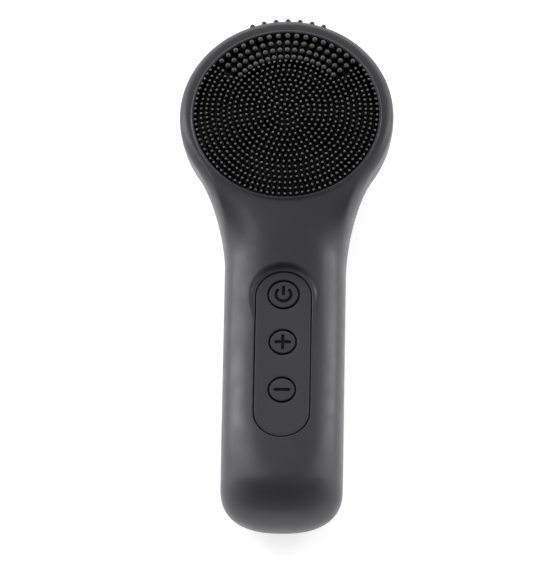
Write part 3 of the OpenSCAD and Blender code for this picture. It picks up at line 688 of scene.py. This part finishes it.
def nodule_rows():
    """Length along the head's section where each row of nodules lies."""
    r, _, length = head_profile()
    edge = int(np.argmax(r))
    rows = [np.interp(mix(HEAD_R - EDGE_R, HEAD_R, FIRST_ROW_OUT), r[:edge + 1], length[:edge + 1])]
    for j in range(1, NODULE_ROWS):
        radius = HEAD_R * math.cos(math.radians(ROW_ANGLE * j + ROW_ANGLE_START))
        rows.append(np.interp(-radius, -r[edge:], length[edge:]))
    return rows


def nodule_mesh(material):
    """Every nodule as a closed bell that follows the curve of the head."""
    r, z, length = head_profile()
    slope_r, slope_z = np.gradient(r, length), np.gradient(z, length)
    turn = np.linspace(0, 2 * math.pi, NODULE_TURN_STEPS, endpoint=False)
    skin = Skin()

    def on_head(along, across, height):
        radius = np.interp(along, length, r)
        tilt_r, tilt_z = np.interp(along, length, slope_r), np.interp(along, length, slope_z)
        a = QUARTER + across / HEAD_R
        out = radius - tilt_z * height
        return np.column_stack([out * np.cos(a), HEAD_S + out * np.sin(a),
                                np.interp(along, length, z) + tilt_r * height])

    def at_axis(row, middle, height):
        return on_head(np.array([row]), np.array([middle]), np.array([height]))[0]

    for j, row in enumerate(nodule_rows()):
        count = NODULE_COUNT - j % 2
        stretch = HEAD_R / np.interp(row, length, r)
        for i in range(count):
            middle = (i - (count - 1) / 2) * NODULE_PITCH
            rings = []
            for w, h in NODULE_SECTION:
                across = middle + stretch * w * np.sin(turn)
                rings.append(on_head(row + w * np.cos(turn), across, np.full(len(turn), h)))
            skin.cap(rings[0], at_axis(row, middle, NODULE_R))
            skin.bands(rings)
            skin.cap(rings[-1], at_axis(row, middle, NODULE_ROOT))
    return skin.build("nodules", [material], merge=FINE_MERGE)


# The mouth of the charging socket: radius and height over the floor, from below the back to past the lining
JACK_HOLE_R = 1.6
JACK_SECTION = [(2.6, -1.0), (2.3, -0.01), (2.05, 0.12), (1.85, 0.32), (1.7, 0.6), (JACK_HOLE_R, 0.95),
                (JACK_HOLE_R, SKIN_T + 0.3)]
JACK_TURN_STEPS = 64


def jack_cutter():
    """The rounded mouth of the charging socket as a solid to cut the sleeve with."""
    low, high = node_box("charge_jack_body")
    centre = (0, (low[1] + high[1]) / 2, 0)
    skin = Skin()
    rings = revolve(JACK_SECTION, centre, JACK_TURN_STEPS)
    skin.bands(rings)
    skin.cap(rings[0], (0, centre[1], JACK_SECTION[0][1]))
    skin.cap(rings[-1], (0, centre[1], JACK_SECTION[-1][1]))
    return skin.build("jack_cutter", [])


def combine(piece, tool, operation):
    """Applies one exact boolean and throws the tool away."""
    modifier = piece.modifiers.new(operation, "BOOLEAN")
    modifier.object = tool
    modifier.operation = operation
    modifier.solver = "EXACT"
    depsgraph = bpy.context.evaluated_depsgraph_get()
    mesh = bpy.data.meshes.new_from_object(piece.evaluated_get(depsgraph))
    piece.modifiers.clear()
    piece.data = mesh
    bpy.data.objects.remove(tool)


# Distances outside the brush opening and the keypad opening where the mesh has loops
BEAD_LOOPS = [0, 0.03, 0.1, 0.2, 0.33, 0.45, 0.57, 0.7, 0.8, 0.87, 0.9, 1.05]
LEDGE_LOOPS = [0, 0.04, 0.1, 0.17, 0.25, 0.5, 0.75, 0.9, 1.05, 1.2, 1.38, 1.55, 1.7, 1.85, 2.0, 2.4]
FACE_PITCH = 0.9
LINING_PITCH = 1.8


def make_sleeve():
    """The sleeve as one closed skin: its face, its lining, and the walls of its two openings."""
    material = slot_materials["sleeve_silicone"]
    skin = Skin()
    add_sheet(skin, 0, FACE_PITCH, steps=18, spacing=1.1, front=True, height=sleeve_front,
              offsets=(BEAD_LOOPS, LEDGE_LOOPS))
    add_sheet(skin, 0, FACE_PITCH, steps=40, spacing=1.6, front=False)
    add_sheet(skin, SKIN_T, LINING_PITCH, steps=9, spacing=3.0, front=True, height=sleeve_lining,
              offsets=([0], [0]))
    add_sheet(skin, SKIN_T, LINING_PITCH, steps=14, spacing=3.5, front=False)
    (round_brush,), (round_panel,) = opening_loops(([0], [0]))
    add_opening_wall(skin, round_brush)
    add_opening_wall(skin, round_panel)
    sleeve = skin.build("soft_sleeve", [material])
    nodules = nodule_mesh(material)
    combine(sleeve, nodules, "UNION")
    combine(sleeve, jack_cutter(), "DIFFERENCE")
    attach(sleeve, "root")
    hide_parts("silicone_sleeve")


# ---- Brush ----

DOME_RINGS = 5
# Material index for the round tips of bristles and studs, which carry the painted highlight
TIP_HIGHLIGHT = 1
POST_ROOT_Z = -0.15
FILLET_Z = 0.12
FILLET_SHARE = 0.4
POST_FOOT_Z = 0.4
POST_WAIST = 0.6
FLOOR_INNER_R = 0.6
FLOOR_TURN_STEPS = 160
FLOOR_T = 1.3
FLOOR_ROUND = 0.35
SKIRT_T = 1
STUD_TAPER = (0.03, -0.04)
STUD_H = BRISTLE_H - 0.5
STUD_FLARE = 0.12
STUD_TURN_STEPS = 28
BRISTLE_TURN_STEPS = 12
BRISTLE_ROOT_R = 0.43
BRISTLE_TIP_R = 0.36
BRISTLE_FLARE = 0.1
BRISTLE_LEAN = 0.012
SHORTEST_SHARE = 0.975
THICKNESS_SPREAD = 0.03
DRAW_SEED = 7


def floor_height(r):
    """Height of the domed floor that the bristles and studs stand on."""
    return FLOOR_EDGE_Z + FLOOR_RISE * (1 - (r / PAD_R) ** 2)


def stud_places():
    """Radius and angle of every stud."""
    for j in range(STUD_ROWS):
        for i in range(STUD_COUNT):
            angle = math.radians(90 + (i - (STUD_COUNT - 1) / 2) * STUD_STEP)
            yield STUD_R + j * STUD_PITCH, angle


def add_post(skin, centre, section, lean, count):
    """A closed upright post whose section is (radius, height) pairs, leaning more the higher it goes."""
    tip = section[-1][1]
    rings = revolve(section[:-1], centre, count)
    for ring, (_, height) in zip(rings, section):
        ring[:, 0] += lean[0] * height
        ring[:, 1] += lean[1] * height
    shaft = len(rings) - DOME_RINGS
    skin.bands(rings[:shaft + 1])
    # The round tip gets the second material, a painted highlight
    skin.bands(rings[shaft:], TIP_HIGHLIGHT)
    skin.cap(rings[0], centre + np.array([0, 0, section[0][1]]))
    skin.cap(rings[-1], centre + np.array([lean[0] * tip, lean[1] * tip, tip]), TIP_HIGHLIGHT)


def post_section(root_r, tip_r, height, flare):
    """A tapered post with a flared foot and a round tip."""
    dome = [(tip_r * math.cos(a), height - tip_r + tip_r * math.sin(a))
            for a in np.linspace(0, QUARTER, DOME_RINGS + 1)[:-1]]
    return [(root_r + flare, POST_ROOT_Z), (root_r + flare * FILLET_SHARE, FILLET_Z),
            (root_r, POST_FOOT_Z), (mix(root_r, tip_r, POST_WAIST), height * POST_WAIST), *dome, (0, height)]


def make_brush_pad():
    """The brush's floor with its skirt, and the thick studs on it."""
    skin = Skin()
    radii = np.linspace(FLOOR_INNER_R, PAD_R - FLOOR_ROUND, 26)
    top = [(r, floor_height(r)) for r in radii]
    edge = [(PAD_R - FLOOR_ROUND + FLOOR_ROUND * math.sin(a),
             floor_height(PAD_R) - FLOOR_ROUND + FLOOR_ROUND * math.cos(a))
            for a in np.linspace(0.2, QUARTER, 5)]
    skirt = [(PAD_R, pad_low[2]), (PAD_R - SKIRT_T, pad_low[2]),
             (PAD_R - SKIRT_T, floor_height(PAD_R) - FLOOR_T)]
    under = [(r, floor_height(r) - FLOOR_T) for r in radii[::-3]]
    rings = revolve([*top, *edge, *skirt, *under], (0, BRUSH_S, 0), FLOOR_TURN_STEPS)
    skin.bands(rings)
    skin.cap(rings[0], (0, BRUSH_S, floor_height(0)))
    skin.cap(rings[-1], (0, BRUSH_S, floor_height(0) - FLOOR_T))
    section = post_section(STUD_D / 2 + STUD_TAPER[0], STUD_D / 2 + STUD_TAPER[1], STUD_H, STUD_FLARE)
    for r, angle in stud_places():
        centre = np.array([r * math.cos(angle), BRUSH_S + r * math.sin(angle), floor_height(r)])
        add_post(skin, centre, section, (0, 0), STUD_TURN_STEPS)
    pad = skin.build("soft_brush_pad", [slot_materials["brush_silicone"], stud_tip_highlight], merge=FINE_MERGE)
    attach(pad, "root")
    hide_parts("brush_pad")


def bristle_places(draw):
    """Rings of bristles with the same spacing along each ring as between rings; the outer rings line up."""
    half = math.radians(STUD_STEP * (STUD_COUNT + 1) / 2)
    yield 0.0, 0.0
    for k in range(1, RINGS + 1):
        lined_up = k > RINGS - LINED_UP_RINGS
        count = round(2 * math.pi * (RINGS - 0.5)) if lined_up else round(2 * math.pi * k)
        turn = QUARTER if lined_up else draw.uniform(0, 2 * math.pi)
        for i in range(count):
            angle = turn + 2 * math.pi * (i + 0.5) / count
            away = abs((angle - QUARTER + math.pi) % (2 * math.pi) - math.pi)
            if k * RING_PITCH < STUD_R - STUD_PITCH / 2 or away > half:
                yield k * RING_PITCH, angle


def make_bristles():
    """Every fine bristle, each with its own slight lean and length."""
    draw = random.Random(DRAW_SEED)
    skin = Skin()
    for r, angle in bristle_places(draw):
        length = BRISTLE_H * draw.uniform(SHORTEST_SHARE, 1.0)
        thick = draw.uniform(1 - THICKNESS_SPREAD, 1 + THICKNESS_SPREAD)
        lean = (draw.gauss(0, BRISTLE_LEAN), draw.gauss(0, BRISTLE_LEAN))
        centre = np.array([r * math.cos(angle), BRUSH_S + r * math.sin(angle), floor_height(r)])
        section = post_section(BRISTLE_ROOT_R * thick, BRISTLE_TIP_R * thick, length, BRISTLE_FLARE)
        add_post(skin, centre, section, lean, BRISTLE_TURN_STEPS)
    bristles = skin.build("soft_bristles", [slot_materials["brush_silicone"], bristle_tip_highlight], merge=FINE_MERGE)
    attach(bristles, "root")
    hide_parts("fine_bristles")


# ---- Keypad panel ----

PANEL_ROUND = 0.3
PANEL_PITCH = 0.45
KEY_HOLE_COUNT = 96
PANEL_GRID_PITCH = 1.2
PANEL_GRID_CLEARANCE = 0.4
HOLE_SLACK = 0.9999
KEYS = {"power": "power_key", "plus": "plus_key", "minus": "minus_key"}


def key_places():
    """Each key's centre, radius, bottom and top, from its CAD node."""
    places = {}
    for name, node in KEYS.items():
        low, high = node_box(node)
        places[name] = ((low[1] + high[1]) / 2, (high[0] - low[0]) / 2, low[2], high[2])
    return places


def make_panel():
    """The flat panel with rounded edges, and a rounded hole round each key."""
    skin = Skin()
    holes = [(s, r + KEY_GAP) for s, r, _, _ in key_places().values()]
    turn = np.linspace(0, QUARTER, 6)
    steps = [(PANEL_ROUND * (1 - math.sin(a)), PANEL_Z - PANEL_ROUND * (1 - math.cos(a))) for a in turn]
    steps.append((0, panel_low[2]))

    def outer(offset):
        return stadium_loop(panel_low, panel_high, -offset, PANEL_PITCH)

    def hole(s, r, offset):
        return circle_loop(s, r + offset, KEY_HOLE_COUNT)

    def level(loop, z):
        return np.column_stack([loop, np.full(len(loop), z)])

    skin.bands([level(outer(offset), z) for offset, z in steps])
    for s, r in holes:
        skin.bands([level(hole(s, r, offset), z) for offset, z in steps])
    for offset, z in (steps[0], steps[-1]):
        loops = [outer(offset), *(hole(s, r, offset) for s, r in holes)]
        extra = grid(PANEL_GRID_PITCH)
        from_edge = stadium_distance(extra[:, 0], extra[:, 1], panel_low, panel_high)
        inner = from_edge < -offset - PANEL_GRID_CLEARANCE
        for s, r in holes:
            inner &= np.hypot(extra[:, 0], extra[:, 1] - s) > r + offset + PANEL_GRID_CLEARANCE

        def keep(x, place_s):
            inside = stadium_distance(x, place_s, panel_low, panel_high) < -offset
            for s, r in holes:
                inside &= np.hypot(x, place_s - s) > (r + offset) * HOLE_SLACK
            return inside

        plan, faces = triangles_between(loops, extra[inner], keep)
        skin.add(level(plan, z), faces)
    panel = skin.build("soft_keypad_panel", [slot_materials["keypad_silicone"]], merge=FINE_MERGE)
    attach(panel, "root")
    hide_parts("keypad_panel")


def bar_distance(x, y, start, end):
    """Distance from the middle line of a straight bar."""
    line = np.subtract(end, start)
    along = np.clip(((x - start[0]) * line[0] + (y - start[1]) * line[1]) / (line @ line), 0, 1)
    return np.hypot(x - start[0] - along * line[0], y - start[1] - along * line[1])


# ---- Keys ----

LEVEL_REACH = 2.05
POWER_ARC_R = 2.25
POWER_OPENING = math.radians(52)
POWER_BAR = ((0, 0.15), (0, 2.45))


def minus_sign(x, y):
    return bar_distance(x, y, (-LEVEL_REACH, 0), (LEVEL_REACH, 0))


def plus_sign(x, y):
    return np.minimum(minus_sign(x, y), minus_sign(y, x))


def power_sign(x, y):
    """Distance from the middle line of an open ring with a bar in its opening."""
    angle = np.abs(np.arctan2(x, y))
    end = (POWER_ARC_R * math.sin(POWER_OPENING), POWER_ARC_R * math.cos(POWER_OPENING))
    arc = np.where(angle > POWER_OPENING, np.abs(np.hypot(x, y) - POWER_ARC_R),
                   np.hypot(np.abs(x) - end[0], y - end[1]))
    return np.minimum(arc, bar_distance(x, y, *POWER_BAR))


SIGNS = {"power": power_sign, "plus": plus_sign, "minus": minus_sign}
KEY_CROWN = 0.06
KEY_ROUND = 0.28
KEY_TURN_STEPS = 240
FACE_START = 0.08
FACE_STEP = 0.07
ENGRAVING_WALL = 0.2
PAINT_OVERLAP = 0.06


def make_key(name, place, sign):
    """A round soft key with a rounded rim, a faint crown and its sign engraved in the top."""
    s, radius, bottom_z, top_z = place
    flat_r = radius - KEY_ROUND
    face = np.arange(FACE_START, flat_r, FACE_STEP)
    a = np.linspace(0, 2 * math.pi, KEY_TURN_STEPS, endpoint=False)

    def level_ring(r, z):
        return np.column_stack([r * np.cos(a), s + r * np.sin(a), np.full(KEY_TURN_STEPS, z)])

    skin = Skin()
    rings = []
    for r in face:
        x, y = r * np.cos(a), r * np.sin(a)
        wall = smooth((ENGRAVING_W / 2 + ENGRAVING_WALL / 2 - sign(x, y)) / ENGRAVING_WALL)
        z = top_z - KEY_CROWN * (r / radius) ** 2 - ENGRAVING_DEPTH * wall
        rings.append(np.column_stack([x, s + y, z]))
    skin.bands(rings)
    for u in np.linspace(0, QUARTER, 7):
        r = flat_r + KEY_ROUND * math.sin(u)
        z = top_z - KEY_CROWN * (flat_r / radius) ** 2 - KEY_ROUND + KEY_ROUND * math.cos(u)
        rings.append(level_ring(r, z))
    rings.append(level_ring(radius, bottom_z))
    skin.bands(rings[len(face) - 1:])
    skin.cap(rings[0], (0, s, rings[0][:, 2].mean()))
    skin.cap(rings[-1], (0, s, bottom_z))
    key = skin.build(f"soft_{name}_key", [slot_materials["keypad_silicone"], engraving_shade], merge=FINE_MERGE)
    # Darkens the sign's groove floor as painted shade
    paint_engraving_shade(key, s, top_z, sign)
    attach(key, f"{name}_button")
    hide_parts(KEYS[name])


def paint_engraving_shade(key, s, top_z, sign):
    """Paints the floor of the engraved sign dark: painted shade in the groove."""
    count = len(key.data.polygons)
    centres = np.empty(count * 3)
    key.data.polygons.foreach_get("center", centres)
    centres = centres.reshape(-1, 3) / MM
    x, y = centres[:, 0], centres[:, 1] - FOOT_Y - s
    on_face = centres[:, 2] > top_z - 2 * ENGRAVING_DEPTH
    deep = (sign(x, y) < ENGRAVING_W / 2 + PAINT_OVERLAP) & on_face
    key.data.polygons.foreach_set("material_index", deep.astype(np.int32))


def make_keys():
    for name, place in key_places().items():
        make_key(name, place, SIGNS[name])


# ---- Studio ----

CAMERA_AZIMUTH = math.radians(4.0)
CAMERA_ELEVATION = math.radians(63.16)
CAMERA_ROLL = math.radians(-3.4)
CAMERA_DISTANCE = 2.5
CAMERA_LENS = 520
MIDDLE = (0, 0, 0.016)
SHIFT_LEFT = 0.00454
SHIFT_DOWN = 0.00246
LAMP_AIM = (0, 0, 0.015)
FLOOR_GAP = 0.0002
FLOOR_REACH = 3.0
FLOOR_GLOW = 0.62
WALL_LIGHT = 1.5
CEILING_LIGHT = 0.40
WALL_TOP = 0.1
CEILING_START = 0.75
BACK_GAIN = 0.8
# Each lamp's name, place, width and length, and power
SOFTBOXES = [
    ("left_strip", (-0.6, 0.25, 0.07), (0.06, 1.0), 1.4),
    ("right_strip", (0.6, 0.25, 0.12), (0.06, 1.0), 1.4),
    ("left_wing", (-0.55, 0.3, 0.6), (0.08, 0.8), 1.6),
]


def make_camera():
    """A long lens that looks down on the lying brush from its foot."""
    ca, sa = math.cos(CAMERA_AZIMUTH), math.sin(CAMERA_AZIMUTH)
    ce, se = math.cos(CAMERA_ELEVATION), math.sin(CAMERA_ELEVATION)
    back = Vector((sa * ce, -ca * ce, se))
    level = Vector((ca, sa, 0))
    over = back.cross(level)
    right = level * math.cos(CAMERA_ROLL) + over * math.sin(CAMERA_ROLL)
    up = over * math.cos(CAMERA_ROLL) - level * math.sin(CAMERA_ROLL)
    target = Vector(MIDDLE) - right * SHIFT_LEFT - up * SHIFT_DOWN
    camera = bpy.data.objects.new("camera", bpy.data.cameras.new("camera"))
    camera.data.lens = CAMERA_LENS
    camera.data.clip_end = 10
    camera.matrix_world = Matrix.Translation(target + back * CAMERA_DISTANCE) @ Matrix(
        (right, up, back)).transposed().to_4x4()
    bpy.context.scene.collection.objects.link(camera)
    bpy.context.scene.camera = camera


def add_softbox(name, place, size, power):
    """A long rectangular lamp aimed at the brush."""
    lamp = bpy.data.lights.new(name, "AREA")
    lamp.shape = "RECTANGLE"
    lamp.size, lamp.size_y = size
    lamp.energy = power
    light = bpy.data.objects.new(name, lamp)
    light.location = place
    light.rotation_euler = (Vector(LAMP_AIM) - Vector(place)).to_track_quat("-Z", "Y").to_euler()
    bpy.context.scene.collection.objects.link(light)


def make_floor():
    """White paper that glows a little, so that it stays white round the brush."""
    material, nodes, links, shader = new_material("studio_floor")
    paper = noise(nodes, links, 40, 2)
    links.new(ramp(nodes, links, paper, (0.93, 0.93, 0.93), (0.95, 0.95, 0.95)), shader.inputs["Base Color"])
    shader.inputs["Roughness"].default_value = 0.9
    shader.inputs["Emission Color"].default_value = (1, 1, 1, 1)
    shader.inputs["Emission Strength"].default_value = FLOOR_GLOW
    mesh = bpy.data.meshes.new("floor")
    corners = [(x * FLOOR_REACH, y * FLOOR_REACH, 0) for x, y in ((-1, -1), (1, -1), (1, 1), (-1, 1))]
    mesh.from_pydata(corners, [], [(0, 1, 2, 3)])
    mesh.materials.append(material)
    floor = bpy.data.objects.new("floor", mesh)
    floor.location.z = cad_box[0][2] - FLOOR_GAP
    bpy.context.scene.collection.objects.link(floor)


def make_world():
    """White walls round a dimmer ceiling, brighter behind the head than in front of the foot."""
    world = bpy.data.worlds.new("studio")
    bpy.context.scene.world = world
    world.use_nodes = True
    nodes, links = world.node_tree.nodes, world.node_tree.links
    nodes["Background"].inputs["Color"].default_value = (1, 1, 1, 1)
    place = nodes.new("ShaderNodeTexCoord")
    split = nodes.new("ShaderNodeSeparateXYZ")
    fade = nodes.new("ShaderNodeMapRange")
    fade.interpolation_type = "SMOOTHSTEP"
    fade.inputs["From Min"].default_value = WALL_TOP
    fade.inputs["From Max"].default_value = CEILING_START
    fade.inputs["To Min"].default_value = WALL_LIGHT
    fade.inputs["To Max"].default_value = CEILING_LIGHT
    side = nodes.new("ShaderNodeMath")
    side.operation = "MULTIPLY_ADD"
    side.inputs[1].default_value = BACK_GAIN
    side.inputs[2].default_value = 1.0
    light = nodes.new("ShaderNodeMath")
    light.operation = "MULTIPLY"
    links.new(place.outputs["Generated"], split.inputs["Vector"])
    links.new(split.outputs["Z"], fade.inputs["Value"])
    links.new(split.outputs["Y"], side.inputs[0])
    links.new(fade.outputs["Result"], light.inputs[0])
    links.new(side.outputs["Value"], light.inputs[1])
    links.new(light.outputs["Value"], nodes["Background"].inputs["Strength"])


def make_studio():
    make_world()
    for softbox in SOFTBOXES:
        add_softbox(*softbox)
    make_floor()
    bpy.context.scene.view_settings.view_transform = "Standard"


make_camera()
finish_cad_nodes()
make_sleeve()
make_brush_pad()
make_bristles()
make_panel()
make_keys()
make_studio()
